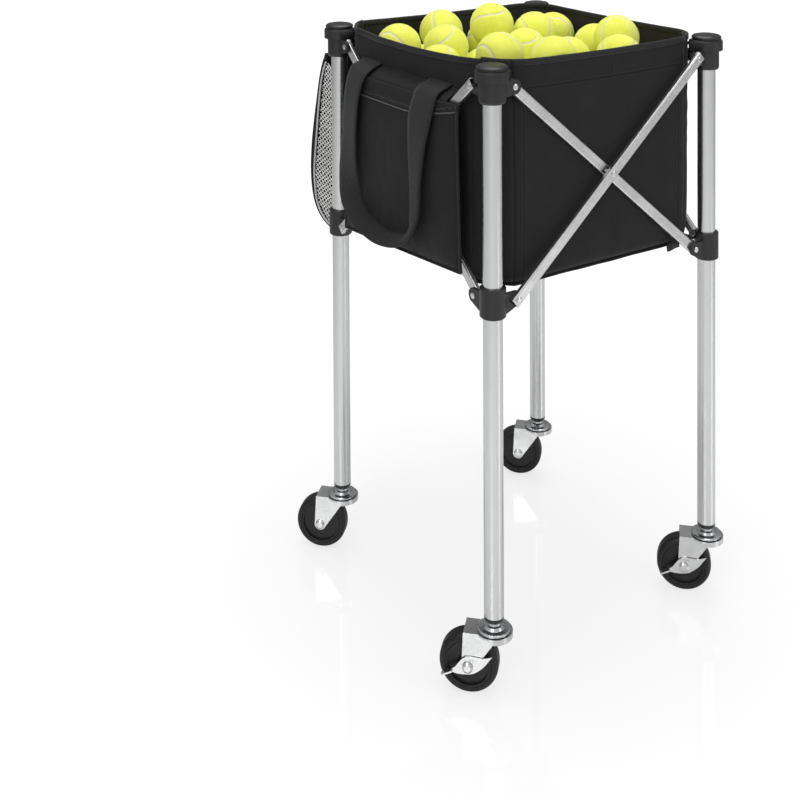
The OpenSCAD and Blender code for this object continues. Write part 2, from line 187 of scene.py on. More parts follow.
def metal(name, color, rough, stretch, turn=(0, 0, 0), edge=0.4 * MM, blotch=0.06, wear=1.0):
    """Drawn or plated metal: fine lines along one way, soft blotches and a few darker scuffs."""
    material, tree, shader = new_material(name, color, rough, 1.0)
    lines = noise_of(tree, coords(tree, stretch, turn), 1.0, 6.0, 0.7)
    clouds = noise_of(tree, coords(tree), 38.0, 3.0)
    scuffs = noise_of(tree, coords(tree), 210.0, 8.0, 0.75)
    tree.links.new(
        maths(tree, "ADD", spread(tree, lines, rough - 0.07 * wear, rough + 0.09 * wear, 0.3, 0.7),
              spread(tree, scuffs, -0.03 * wear, 0.12 * wear, 0.5, 0.8)),
        shader.inputs["Roughness"])
    dark = tuple(c * (1 - 3 * blotch) for c in color)
    tree.links.new(mix_color(tree, spread(tree, clouds, 0, 1, 0.35, 0.7), dark, color), shader.inputs["Base Color"])
    relief(tree, shader, maths(tree, "ADD", lines, maths(tree, "MULTIPLY", scuffs, 0.4)), 0.012 * MM * wear, 0.5, edge)
    return material


def plastic(name, color, rough, edge=0.5 * MM):
    """Moulded plastic with a fine spark-eroded grain and slightly worn shine."""
    material, tree, shader = new_material(name, color, rough, 0.0, Specular_IOR_Level=0.5)
    grain = noise_of(tree, coords(tree), 2600.0, 2.0)
    wear = noise_of(tree, coords(tree), 60.0, 5.0)
    tree.links.new(spread(tree, wear, rough - 0.1, rough + 0.12, 0.3, 0.7), shader.inputs["Roughness"])
    light = tuple(c * 1.9 + 0.004 for c in color)
    tree.links.new(mix_color(tree, spread(tree, wear, 0, 0.5, 0.45, 0.8), color, light), shader.inputs["Base Color"])
    relief(tree, shader, grain, 0.03 * MM, 0.35, edge)
    return material


def weave_height(tree, pitch):
    """Height of a plain weave from a mesh's UVs, which are in metres, with threads pitch apart."""
    uv = coords(tree, source="UV")
    split = tree.nodes.new("ShaderNodeSeparateXYZ")
    tree.links.new(uv, split.inputs[0])
    waves = []
    for axis in ("X", "Y"):
        angle = maths(tree, "MULTIPLY", split.outputs[axis], math.pi / pitch)
        waves.append(maths(tree, "SINE", angle))
    warp = maths(tree, "ABSOLUTE", waves[0])
    weft = maths(tree, "ABSOLUTE", waves[1])
    over = maths(tree, "GREATER_THAN", maths(tree, "MULTIPLY", waves[0], waves[1]), 0.0)
    node = tree.nodes.new("ShaderNodeMix")
    tree.links.new(over, node.inputs[0])
    tree.links.new(warp, node.inputs[2])
    tree.links.new(weft, node.inputs[3])
    return node.outputs[0]


def cloth(name, color, rough, pitch, sheen=0.08, depth=0.10):
    """Woven polyester: a plain weave, uneven dye, a slight nap and soft creases."""
    material, tree, shader = new_material(
        name, color, rough, 0.0, Sheen_Weight=sheen, Sheen_Roughness=0.4, Specular_IOR_Level=0.22)
    threads = weave_height(tree, pitch)
    slub = noise_of(tree, coords(tree), 520.0, 3.0)
    dye = noise_of(tree, coords(tree), 22.0, 4.0)
    creases = noise_of(tree, coords(tree, (1, 1, 0.55)), 34.0, 5.0, 0.5)
    pale = tuple(c * 1.7 + 0.003 for c in color)
    tint = maths(tree, "ADD", maths(tree, "MULTIPLY", threads, 0.45), maths(tree, "MULTIPLY", slub, 0.35))
    tree.links.new(mix_color(tree, maths(tree, "MULTIPLY", tint, spread(tree, dye, 0.5, 1.2, 0.3, 0.7)), color, pale),
                   shader.inputs["Base Color"])
    tree.links.new(spread(tree, slub, rough - 0.08, rough + 0.1, 0.3, 0.7), shader.inputs["Roughness"])
    height = maths(tree, "ADD", maths(tree, "MULTIPLY", threads, 0.45),
                   maths(tree, "ADD", maths(tree, "MULTIPLY", slub, 0.3), maths(tree, "MULTIPLY", creases, 4.0)))
    relief(tree, shader, height, depth * MM, 0.8)
    return material


def webbing(name, color):
    """Ribbed nylon webbing: rows of herringbone across the strap, from UVs in metres."""
    material, tree, shader = new_material(name, color, 0.6, 0.0, Sheen_Weight=0.08, Specular_IOR_Level=0.25)
    uv = coords(tree, source="UV")
    split = tree.nodes.new("ShaderNodeSeparateXYZ")
    tree.links.new(uv, split.inputs[0])
    zig = maths(tree, "PINGPONG", split.outputs["X"], 2.4 * MM)
    along = maths(tree, "ADD", split.outputs["Y"], maths(tree, "MULTIPLY", zig, 0.9))
    rib = maths(tree, "ABSOLUTE", maths(tree, "SINE", maths(tree, "MULTIPLY", along, math.pi / (1.3 * MM))))
    fuzz = noise_of(tree, coords(tree), 900.0, 3.0)
    pale = tuple(c * 2.0 + 0.004 for c in color)
    tree.links.new(mix_color(tree, maths(tree, "MULTIPLY", rib, spread(tree, fuzz, 0.3, 0.9, 0.3, 0.7)), color, pale),
                   shader.inputs["Base Color"])
    relief(tree, shader, maths(tree, "ADD", rib, maths(tree, "MULTIPLY", fuzz, 0.4)), 0.22 * MM, 0.8)
    return material


def ball_felt():
    """Yellow felt with a woolly nap; the seam comes from the mesh's seam attribute."""
    yellow, deep, cream = (0.84, 0.86, 0.14), (0.76, 0.79, 0.085), (0.72, 0.69, 0.48)
    material, tree, shader = new_material(
        "ball_felt", yellow, 0.9, 0.0, Sheen_Weight=0.5, Sheen_Roughness=0.6, Specular_IOR_Level=0.15)
    nap = noise_of(tree, coords(tree), 420.0, 6.0, 0.7)
    patches = noise_of(tree, coords(tree), 55.0, 3.0)
    seam = tree.nodes.new("ShaderNodeAttribute")
    seam.attribute_name = "seam"
    on_seam = spread(tree, seam.outputs["Fac"], 1, 0, 1.2, 2.0)
    felt = mix_color(tree, spread(tree, maths(tree, "ADD", nap, patches), 0, 1, 0.75, 1.15), deep, yellow)
    tree.links.new(mix_color(tree, on_seam, felt, cream), shader.inputs["Base Color"])
    shader.inputs["Sheen Tint"].default_value = (0.95, 1.0, 0.45, 1)
    fuzzy = maths(tree, "MULTIPLY", nap, maths(tree, "SUBTRACT", 1.0, maths(tree, "MULTIPLY", on_seam, 0.8)))
    relief(tree, shader, fuzzy, 0.9 * MM, 0.8)
    return material


def rubber(name):
    """Hard black wheel rubber with a faint dusty mottle."""
    material, tree, shader = new_material(name, (0.006, 0.006, 0.0065), 0.36, 0.0, Specular_IOR_Level=0.45)
    dust = noise_of(tree, coords(tree), 120.0, 6.0, 0.7)
    fine = noise_of(tree, coords(tree), 1500.0, 2.0)
    tree.links.new(mix_color(tree, spread(tree, dust, 0, 1, 0.55, 0.85), (0.006, 0.006, 0.0065), (0.022, 0.022, 0.021)),
                   shader.inputs["Base Color"])
    tree.links.new(spread(tree, dust, 0.34, 0.58, 0.35, 0.75), shader.inputs["Roughness"])
    relief(tree, shader, maths(tree, "ADD", fine, dust), 0.05 * MM, 0.5, 0.6 * MM)
    return material


def stem_finish(name):
    """Caster stem: zinc race and collar below, a black plastic plug above the joint with the tube."""
    material = metal(name, (0.66, 0.67, 0.68), 0.26, (500, 500, 500))
    tree = material.node_tree
    zinc = tree.nodes["Principled BSDF"]
    black = tree.nodes.new("ShaderNodeBsdfPrincipled")
    black.inputs["Base Color"].default_value = (0.012, 0.012, 0.013, 1)
    black.inputs["Roughness"].default_value = 0.4
    place = tree.nodes.new("ShaderNodeSeparateXYZ")
    tree.links.new(coords(tree), place.inputs[0])
    plug_z = TUBE_LOW - 7 * MM
    choose = tree.nodes.new("ShaderNodeMixShader")
    tree.links.new(maths(tree, "GREATER_THAN", place.outputs["Z"], plug_z), choose.inputs[0])
    tree.links.new(zinc.outputs[0], choose.inputs[1])
    tree.links.new(black.outputs[0], choose.inputs[2])
    tree.links.new(choose.outputs[0], tree.nodes["Material Output"].inputs["Surface"])
    return material


TUBE = metal("leg_aluminium", (0.70, 0.705, 0.71), 0.26, (700, 700, 9), blotch=0.008, wear=0.12)
ZINC = metal("caster_zinc", (0.74, 0.745, 0.75), 0.2, (300, 300, 300), blotch=0.05)
STEEL = metal("bright_steel", (0.74, 0.74, 0.75), 0.2, (400, 400, 400))
HUB = plastic("hub_plastic", (0.013, 0.013, 0.014), 0.38)
RUBBER = rubber("wheel_rubber")
STEM = stem_finish("stem_finish")
FABRIC = cloth("bag_fabric", (0.011, 0.011, 0.012), 0.78, 0.55 * MM)
POCKET = cloth("pocket_fabric", (0.010, 0.010, 0.011), 0.74, 0.6 * MM)
LINING = cloth("bag_lining", (0.013, 0.013, 0.014), 0.62, 0.4 * MM, 0.1)
TAPE = webbing("webbing", (0.010, 0.010, 0.011))
BINDING = cloth("binding_tape", (0.012, 0.012, 0.013), 0.5, 0.4 * MM, 0.12, 0.06)
# painted highlight: the zip cord's dark grey, lighter than the black cloth, stands in for a thin highlight line along
# the zip
ZIP_HIGHLIGHT_CORD = cloth("zip_cord_painted_highlight", (0.06, 0.06, 0.062), 0.45, 0.4 * MM, 0.3, 0.04)
PIPING = cloth("grey_piping", (0.42, 0.42, 0.42), 0.5, 0.5 * MM, 0.2, 0.08)
THREAD, _tree, _shader = new_material("thread", (0.018, 0.018, 0.019), 0.55, 0.0, Sheen_Weight=0.1)
relief(_tree, _shader, noise_of(_tree, coords(_tree), 2400.0, 2.0), 0.1 * MM, 0.6)
ZIPPER = plastic("zip_teeth", (0.035, 0.035, 0.037), 0.3, 0.2 * MM)
NET = cloth("net_thread", (0.62, 0.62, 0.61), 0.6, 0.3 * MM, 0.1)
FELT = ball_felt()
BARS = {}
for side in SIDES:
    for kind, sign in (("inner", 1), ("outer", -1)):
        tilt = sign * math.degrees(open_angle)
        # lines run along the bar: X or Y turned down by its slope
        across = side in ("front", "back")
        flip = 1 if side in ("front", "left") else -1
        turn = (0, math.radians(tilt * flip), 0) if across else (math.radians(tilt * flip), 0, 0)
        stretch = (8, 600, 600) if across else (600, 8, 600)
        BARS[side, kind] = metal(f"{side}_{kind}_bar_aluminium", (0.72, 0.72, 0.73), 0.3, stretch, turn)


def finish_node(node, material):
    slots = frame["nodes"][node].data.materials
    for i in range(max(1, len(slots))):
        if i < len(slots):
            slots[i] = material
        else:
            slots.append(material)


for c in CORNERS:
    finish_node(c + "_tube", TUBE)
    finish_node(c + "_hub", HUB)
    finish_node(c + "_sleeve", HUB)
    finish_node(c + "_caster_stem", STEM)
    finish_node(c + "_caster_fork", ZINC)
    finish_node(c + "_caster_axle", STEEL)
    finish_node(c + "_caster_wheel", RUBBER)
for s in SIDES:
    for kind in ("inner", "outer"):
        finish_node(f"{s}_{kind}_bar", BARS[s, kind])
        finish_node(f"{s}_{kind}_bar_rivets", STEEL)
for c in CORNERS[:2]:
    finish_node(c + "_brake_lever", ZINC)

# ---------------------------------------------------------------- mesh tools


def make(name, points, faces, materials, uvs=None, face_materials=None, smooth=True):
    """A mesh object from points, faces and per-point UVs in metres."""
    mesh = bpy.data.meshes.new(name)
    mesh.from_pydata([tuple(p) for p in points], [], [tuple(f) for f in faces])
    for m in materials:
        mesh.materials.append(m)
    if uvs is not None:
        layer = mesh.uv_layers.new(name="UVMap")
        index = np.zeros(len(mesh.loops), int)
        mesh.loops.foreach_get("vertex_index", index)
        layer.data.foreach_set("uv", np.asarray(uvs, np.float32)[index].ravel())
    if face_materials is not None:
        mesh.polygons.foreach_set("material_index", np.asarray(face_materials, np.int32))
    mesh.polygons.foreach_set("use_smooth", [smooth] * len(mesh.polygons))
    mesh.validate()
    mesh.update()
    obj = bpy.data.objects.new(name, mesh)
    bpy.context.collection.objects.link(obj)
    return obj


class Parts:
    """Points and faces gathered from several closed pieces into one mesh."""

    def __init__(self):
        self.points, self.uvs, self.faces, self.kinds = [], [], [], []

    def add(self, points, uvs, faces, kind=0):
        base = len(self.points)
        self.points.extend(points)
        self.uvs.extend(uvs)
        self.faces.extend([tuple(base + i for i in f) for f in faces])
        self.kinds.extend([kind] * len(faces))

    def shell(self, grid, uv, thickness, kind=0, inner_kind=None):
        """A sheet of fabric: grid[i][j] are outer points; the inner face lies thickness behind them."""
        g = np.asarray(grid, float)
        n_i, n_j = g.shape[:2]
        di, dj = np.gradient(g, axis=0), np.gradient(g, axis=1)
        normal = np.cross(di, dj)
        normal /= np.maximum(np.linalg.norm(normal, axis=2, keepdims=True), 1e-12)
        inner = g - normal * thickness
        flat = [*g.reshape(-1, 3), *inner.reshape(-1, 3)]
        flat_uv = [*np.asarray(uv, float).reshape(-1, 2)] * 2
        size = n_i * n_j

        def at(i, j, layer):
            return layer * size + i * n_j + j

        outer, back, rim = [], [], []
        for i in range(n_i - 1):
            for j in range(n_j - 1):
                outer.append((at(i, j, 0), at(i + 1, j, 0), at(i + 1, j + 1, 0), at(i, j + 1, 0)))
                back.append((at(i, j, 1), at(i, j + 1, 1), at(i + 1, j + 1, 1), at(i + 1, j, 1)))
        for i in range(n_i - 1):
            rim.append((at(i, 0, 0), at(i, 0, 1), at(i + 1, 0, 1), at(i + 1, 0, 0)))
            rim.append((at(i, n_j - 1, 0), at(i + 1, n_j - 1, 0), at(i + 1, n_j - 1, 1), at(i, n_j - 1, 1)))
        for j in range(n_j - 1):
            rim.append((at(0, j, 0), at(0, j + 1, 0), at(0, j + 1, 1), at(0, j, 1)))
            rim.append((at(n_i - 1, j, 0), at(n_i - 1, j, 1), at(n_i - 1, j + 1, 1), at(n_i - 1, j + 1, 0)))
        base = len(self.points)
        self.points.extend(flat)
        self.uvs.extend(flat_uv)
        for faces, k in ((outer, kind), (back, kind if inner_kind is None else inner_kind), (rim, kind)):
            self.faces.extend([tuple(base + i for i in f) for f in faces])
            self.kinds.extend([k] * len(faces))

    def sweep(self, path, out, profile, kind=0, closed=False):
        """A profile of (outward, up) pairs carried along path; out gives the outward way at each point."""
        path = [Vector(p) for p in path]
        count, ring = len(path), len(profile)
        points, uvs, faces = [], [], []
        length = 0.0
        for i, p in enumerate(path):
            before, after = path[max(i - 1, 0)], path[min(i + 1, count - 1)]
            along = (after - before).normalized()
            outward = Vector(out[i])
            outward = (outward - along * outward.dot(along)).normalized()
            up = along.cross(outward) * -1
            if i:
                length += (p - path[i - 1]).length
            around = 0.0
            for k, (a, b) in enumerate(profile):
                points.append(p + outward * a + up * b)
                if k:
                    around += math.hypot(a - profile[k - 1][0], b - profile[k - 1][1])
                uvs.append((around, length))
        for i in range(count - 1):
            for k in range(ring):
                m = (k + 1) % ring
                faces.append((i * ring + k, (i + 1) * ring + k, (i + 1) * ring + m, i * ring + m))
        faces.append(tuple(range(ring)))
        faces.append(tuple(reversed(range((count - 1) * ring, count * ring))))
        self.add(points, uvs, faces, kind)

    def stitches(self, path, out, pitch=3.6 * MM, length=2.6 * MM, kind=0):
        """A row of thread stitches lying on the fabric along path."""
        path = [Vector(p) for p in path]
        lengths = [0.0]
        for a, b in zip(path, path[1:]):
            lengths.append(lengths[-1] + (b - a).length)
        s = pitch / 2
        while s + length / 2 < lengths[-1]:
            i = max(k for k in range(len(path) - 1) if lengths[k] <= s)
            t = (s - lengths[i]) / max(lengths[i + 1] - lengths[i], 1e-9)
            p = path[i].lerp(path[i + 1], t)
            along = (path[i + 1] - path[i]).normalized()
            n = Vector(out[i]).normalized()
            cross = along.cross(n).normalized()
            points, faces = [], []
            for x, w in ((-0.5, 0.25), (-0.3, 0.8), (0, 1.0), (0.3, 0.8), (0.5, 0.25)):
                for a in range(5):
                    angle = math.tau * a / 5
                    points.append(p + along * x * length + cross * (math.cos(angle) * 0.28 * MM * w)
                                  + n * (math.sin(angle) * 0.28 * MM * w + 0.10 * MM))
            for r in range(4):
                for a in range(5):
                    b = (a + 1) % 5
                    faces.append((r * 5 + a, (r + 1) * 5 + a, (r + 1) * 5 + b, r * 5 + b))
            faces += [tuple(range(5)), tuple(reversed(range(20, 25)))]
            self.add(points, [(0, 0)] * 25, faces, kind)
            s += pitch

    def build(self, name, materials, smooth=True):
        return make(name, self.points, self.faces, materials, self.uvs, self.kinds, smooth)


def turned(k):
    """Side 0 or corner 0 turned into side k or corner k."""
    return Matrix.Rotation(math.pi / 2 * k, 3, "Z")


def ruffle(p, scale, amount, seed=0.0):
    return noise.noise(Vector(p) * scale + Vector((seed, seed * 2.3, -seed))) * amount


def with_extra(start, end, step, marks):
    """Even steps from start to end, with close rows beside each mark so that a groove there is sharp."""
    n = max(2, round((end - start) / step))
    values = set(np.linspace(start, end, n + 1).round(6))
    for m in marks:
        for d in (-2.4, -1.2, -0.5, 0.0, 0.5, 1.2, 2.4):
            x = m + d * MM
            if start < x < end:
                values.add(round(x, 6))
    values = sorted(values)
    kept = [values[0]]
    for v in values[1:]:
        if v - kept[-1] > 0.3 * MM:
            kept.append(v)
    kept[-1] = end
    return kept


# ---------------------------------------------------------------- the bag


def corner_radius(corner, v):
    """Radius of a bag corner at height share v; the load pulls the nearest corner rounder at the rim."""
    return CORNER_R + (16 * MM * v ** 4 if corner == 0 else 0)


def outline(k, run, v):
    """Point and outward way on the bag's outline for side k, in side 0's place.

    The run goes along the side and on round its corners; whatever a corner's radius, SPLIT_RUN lies at SPLIT.
    """
    sign = math.copysign(1, run)
    radius = corner_radius((k + (run > 0)) % 4, v)
    straight = BAG_HALF - radius
    split_angle = math.asin((SPLIT - straight) / radius)
    if abs(run) <= SPLIT_RUN:
        x = abs(run)
        if x > STRAIGHT:
            x = STRAIGHT + CORNER_R * math.sin((x - STRAIGHT) / CORNER_R)
        angle = math.asin(max(0.0, x - straight) / radius)
    else:
        share = (abs(run) - SPLIT_RUN) / (CORNER_RUN - (SPLIT_RUN - STRAIGHT) - SPLIT_RUN)
        angle = split_angle + (math.pi / 2 - 2 * split_angle) * share
        x = straight + radius * math.sin(angle)
    out = Vector((sign * math.sin(angle), -math.cos(angle)))
    return Vector((sign * x, -straight - radius * math.cos(angle))), out


STRAIGHT = BAG_HALF - CORNER_R
SPLIT_RUN = STRAIGHT + CORNER_R * math.asin((SPLIT - STRAIGHT) / CORNER_R)
CORNER_RUN = STRAIGHT + CORNER_R * math.pi / 2  # the run from a side's middle to the next corner's far end
BAG_LOW = BAG_Z + 7 * MM
HEIGHT = RIM_Z - BAG_LOW
SEAM_X = 136 * MM
RIM_DIP = [4 * MM, 3 * MM, 3 * MM, 6 * MM]  # how far each side's rim hangs between its corners
BULGE = [1.5 * MM, 3 * MM, 2 * MM, 9 * MM]  # how far the balls push each rim out
SEAM_Z = [BAND_Z + 10 * MM, BAND_Z, BAND_Z, BAND_Z]  # height of the seam under each side's band


def rim_dip(k, run):
    """Hang of the rim, eased away before the corners."""
    return RIM_DIP[k] * math.cos(min(abs(run) / BAG_HALF, 1) * math.pi / 2) ** 0.8


def bag_point(k, run, z, seed):
    """Outer face of the bag on side k, with its sag, seams and creases."""
    v = (z - BAG_LOW) / HEIGHT
    flat, out = outline(k, run, max(v, 0))
    across = min(abs(run) / STRAIGHT, 1.0)
    seam_z = SEAM_Z[k] + (BAND_Z - SEAM_Z[k]) * max(0, abs(run) - STRAIGHT) / (SPLIT_RUN - STRAIGHT)
    if abs(run) > SPLIT_RUN:
        seam_z = BAND_Z
    belly = math.sin(math.pi * min(v * 1.15, 1)) * (1 - across ** 2) * 1.0 * MM
    tuck = -1.6 * MM * math.exp(-((v - 1.0) / 0.10) ** 2) * (1 - across ** 2)
    low = -5.0 * MM * math.exp(-v / 0.06)
    folds = ruffle((flat.x, flat.y, z * 0.35), 26, 1.0 * MM, seed) + ruffle((flat.x, flat.y, z), 60, 0.35 * MM, seed + 4)
    pull = abs(run) / SPLIT_RUN
    drag = math.sin((z * 2.2 + abs(run)) * 105) * 0.5 * MM * max(0, pull - 0.55) * math.exp(-((v - 0.72) / 0.25) ** 2)
    offset = belly + tuck + low + folds * (1 - 0.5 * math.exp(-v / 0.05)) + drag
    if abs(z - seam_z) < 6 * MM:
        offset -= 0.9 * MM * math.exp(-((z - seam_z) / (0.9 * MM)) ** 2)
    if z > seam_z:
        offset += 0.7 * MM
    if z < seam_z:
        offset -= 1.0 * MM * math.exp(-((abs(run) - SEAM_X) / (0.8 * MM)) ** 2)
    elif k == 0:
        offset -= 0.9 * MM * math.exp(-((run - 12 * MM) / (0.7 * MM)) ** 2) * (z < RIM_Z - 18 * MM)
    offset = min(offset, 1.3 * MM)
    rise = max(0.0, (z - BAND_Z - 2 * MM) / (RIM_Z - BAND_Z))
    offset += BULGE[k] * (1 - across ** 2) * rise ** 1.3
    place = flat + out * offset
    height = z - rim_dip(k, run) * max(v, 0) ** 3
    p = turned(k) @ Vector((place.x, place.y, height))
    normal = turned(k) @ Vector((out.x, out.y, 0))
    return p, normal


BINDING_PROFILE = [(0.7, -6), (1.1, -3), (1.1, 0.6), (0.6, 1.9), (-0.6, 2.5), (-1.9, 2.3), (-2.8, 1.4), (-3.3, 0.2),
                   (-3.3, -3), (-2.9, -6), (-2.3, -6.2), (-2.3, 0), (0.1, 0), (0.1, -6.2)]


def bag_strip(name, k, start, end):
    """The bag's fabric, rim binding and stitching on side k, from run start to run end."""
    parts = Parts()
    seed = 3.1 * k
    runs = with_extra(start, end, 5 * MM, [-SEAM_X, SEAM_X] + ([12 * MM] if k == 0 else []))
    heights = with_extra(BAG_LOW, RIM_Z - 2.5 * MM, 7 * MM, [BAND_Z, SEAM_Z[k]])
    grid, uv = [], []
    for run in runs:
        grid.append([tuple(bag_point(k, run, z, seed)[0]) for z in heights])
        uv.append([(run, z) for z in heights])
    parts.shell(grid, uv, CLOTH_T, 0, 1)

    def line(z, inset=0.0):
        path, out = [], []
        for run in runs:
            p, n = bag_point(k, run, z, seed)
            path.append(p + n * inset)
            out.append(n)
        return path, out

    top = RIM_Z - 2.5 * MM
    path, out = line(top, 0.3 * MM)
    parts.sweep(path, out, [(a * MM, b * MM) for a, b in BINDING_PROFILE], 2)
    for z in (top - 4.8 * MM, SEAM_Z[k] + 3 * MM, SEAM_Z[k] - 3.2 * MM):
        path, out = line(z, 1.5 * MM if z > BAND_Z + 10 * MM else 0.0)
        parts.stitches(path, out, kind=3)
    for seam in (-SEAM_X, SEAM_X):
        if start < seam < end:
            for beside in (-2.6 * MM, 2.6 * MM):
                column = [bag_point(k, seam + beside, z, seed) for z in np.linspace(BAG_LOW + 4 * MM, SEAM_Z[k] - 5 * MM, 60)]
                parts.stitches([p for p, _ in column], [n for _, n in column], kind=3)
    obj = parts.build(name, [FABRIC, LINING, BINDING, THREAD])
    return obj


SIDE_BODY = {0: "front_left_leg", 1: "front_right_leg", 2: "back_left_leg", 3: "front_left_leg"}


def hang(obj, k):
    """The piece rides on side k's leg, with a mesh of its own."""
    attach(obj, SIDE_BODY[k])
    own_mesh(obj)
    return obj


for k, s in enumerate(SIDES):
    panel = bag_strip(f"bag_{s}_side", k, -SPLIT_RUN, SPLIT_RUN)
    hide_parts(f"{s}_bag_panel")
    hang(panel, k)
for k, c in enumerate(CORNERS):
    far = CORNER_RUN - (SPLIT_RUN - STRAIGHT)
    corner = bag_strip(f"bag_{c}_corner", k, -far, -SPLIT_RUN)
    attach(corner, CORNER_BODY[c])


def bag_floor(name, node, k):
    """Half of the bag's floor, a sagging sheet."""
    parts = Parts()
    half = BAG_HALF - 8 * MM
    grid, uv = [], []
    count = 34
    bevel = 16 * MM / half
    for i in range(count + 1):
        t = bevel + (1 - bevel) * i / count  # from the bevelled corner to the diagonal
        row, row_uv = [], []
        for j in range(count + 1):
            u = j / count * 2 - 1
            reach = 2 * half * t
            x = -half + reach * (1 - u) / 2
            y = -half + reach * (1 + u) / 2
            sag = -1.2 * MM * (1 - (x / half) ** 2) * (1 - (y / half) ** 2) + ruffle((x, y, 0), 24, 0.9 * MM, 8.0)
            p = turned(k) @ Vector((x, y, BAG_Z + 2.6 * MM + sag))
            row.append(tuple(p))
            row_uv.append((x, y))
        grid.append(row)
        uv.append(row_uv)
    parts.shell(grid, uv, 1.8 * MM, 0, 1)
    obj = parts.build(name, [LINING, FABRIC])
    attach(obj, node)
    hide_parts(node)
    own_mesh(obj)
    return obj



bag_floor("floor_front_sheet", "bag_floor_front", 0)
bag_floor("floor_back_sheet", "bag_floor_back", 2)

# ---------------------------------------------------------------- pockets


def on_side(k, x, out, z):
    """Row-frame point on side k: x along the side, out from the plane of the leg axes, z up."""
    return turned(k) @ Vector((x, -LEG - out, z))


def flap(parts, k, half, kind=0):
    """The cloth from the bag's band seam out over the bars, down to a pocket's top edge."""
    grid, uv = [], []
    section = [(-3.2, 1.5), (0, 0.5), (6, -2.5), (12, -5.5), (17, -8.5), (20.5, -12), (21.5, -16)]
    for x in np.linspace(-half, half, 60):
        row, row_uv = [], []
        for n, (a, b) in enumerate(section):
            sag = ruffle((x, 0, n * 0.01), 30, 1.6 * MM * min(n, 3) / 3, 5.0 + k)
            row.append(tuple(on_side(k, x, a * MM + 0.3 * sag, BAND_Z + b * MM + sag)))
            row_uv.append((x, n * 5 * MM))
        grid.append(row)
        uv.append(row_uv)
    parts.shell(grid, uv, -1.4 * MM, kind)


